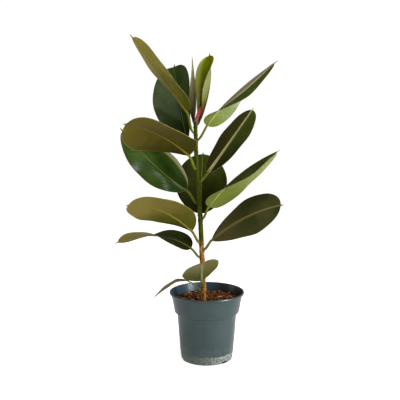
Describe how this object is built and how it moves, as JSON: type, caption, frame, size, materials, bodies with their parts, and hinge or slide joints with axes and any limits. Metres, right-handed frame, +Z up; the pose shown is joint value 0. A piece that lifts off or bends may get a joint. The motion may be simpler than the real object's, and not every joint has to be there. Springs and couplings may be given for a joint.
{
  "type": "potted rubber plant",
  "caption": "Upright rubber plant with large stiff oval leaves on a woody stem, growing in bark potting mix in a flared plastic nursery pot.",
  "frame": {"origin": "centre of the pot's underside, on the surface that the pot stands on", "axes": "+Z up along the pot's axis; -Y is the plant's front, the side seen in the picture; +X is to the right of that view"},
  "size_m": [0.3726, 0.317, 0.7295],
  "materials": {
    "pot": "satin",
    "soil": "matte",
    "stem": "matte",
    "leaf": "satin",
    "young_leaf": "satin",
    "sheath": "satin"
  },
  "bodies": {
    "root": {"pot": "pot", "soil": "soil", "stem": "stem", "sheath": "sheath", "leaf_01": "leaf", "leaf_02": "leaf", "leaf_03": "leaf", "leaf_04": "leaf", "leaf_05": "leaf", "leaf_06": "leaf", "leaf_07": "leaf", "leaf_08": "leaf", "leaf_09": "leaf", "leaf_10": "leaf", "leaf_11": "leaf", "leaf_12": "leaf", "leaf_13": "leaf", "leaf_14": "young_leaf", "leaf_15": "young_leaf"}
  },
  "joints": []
}
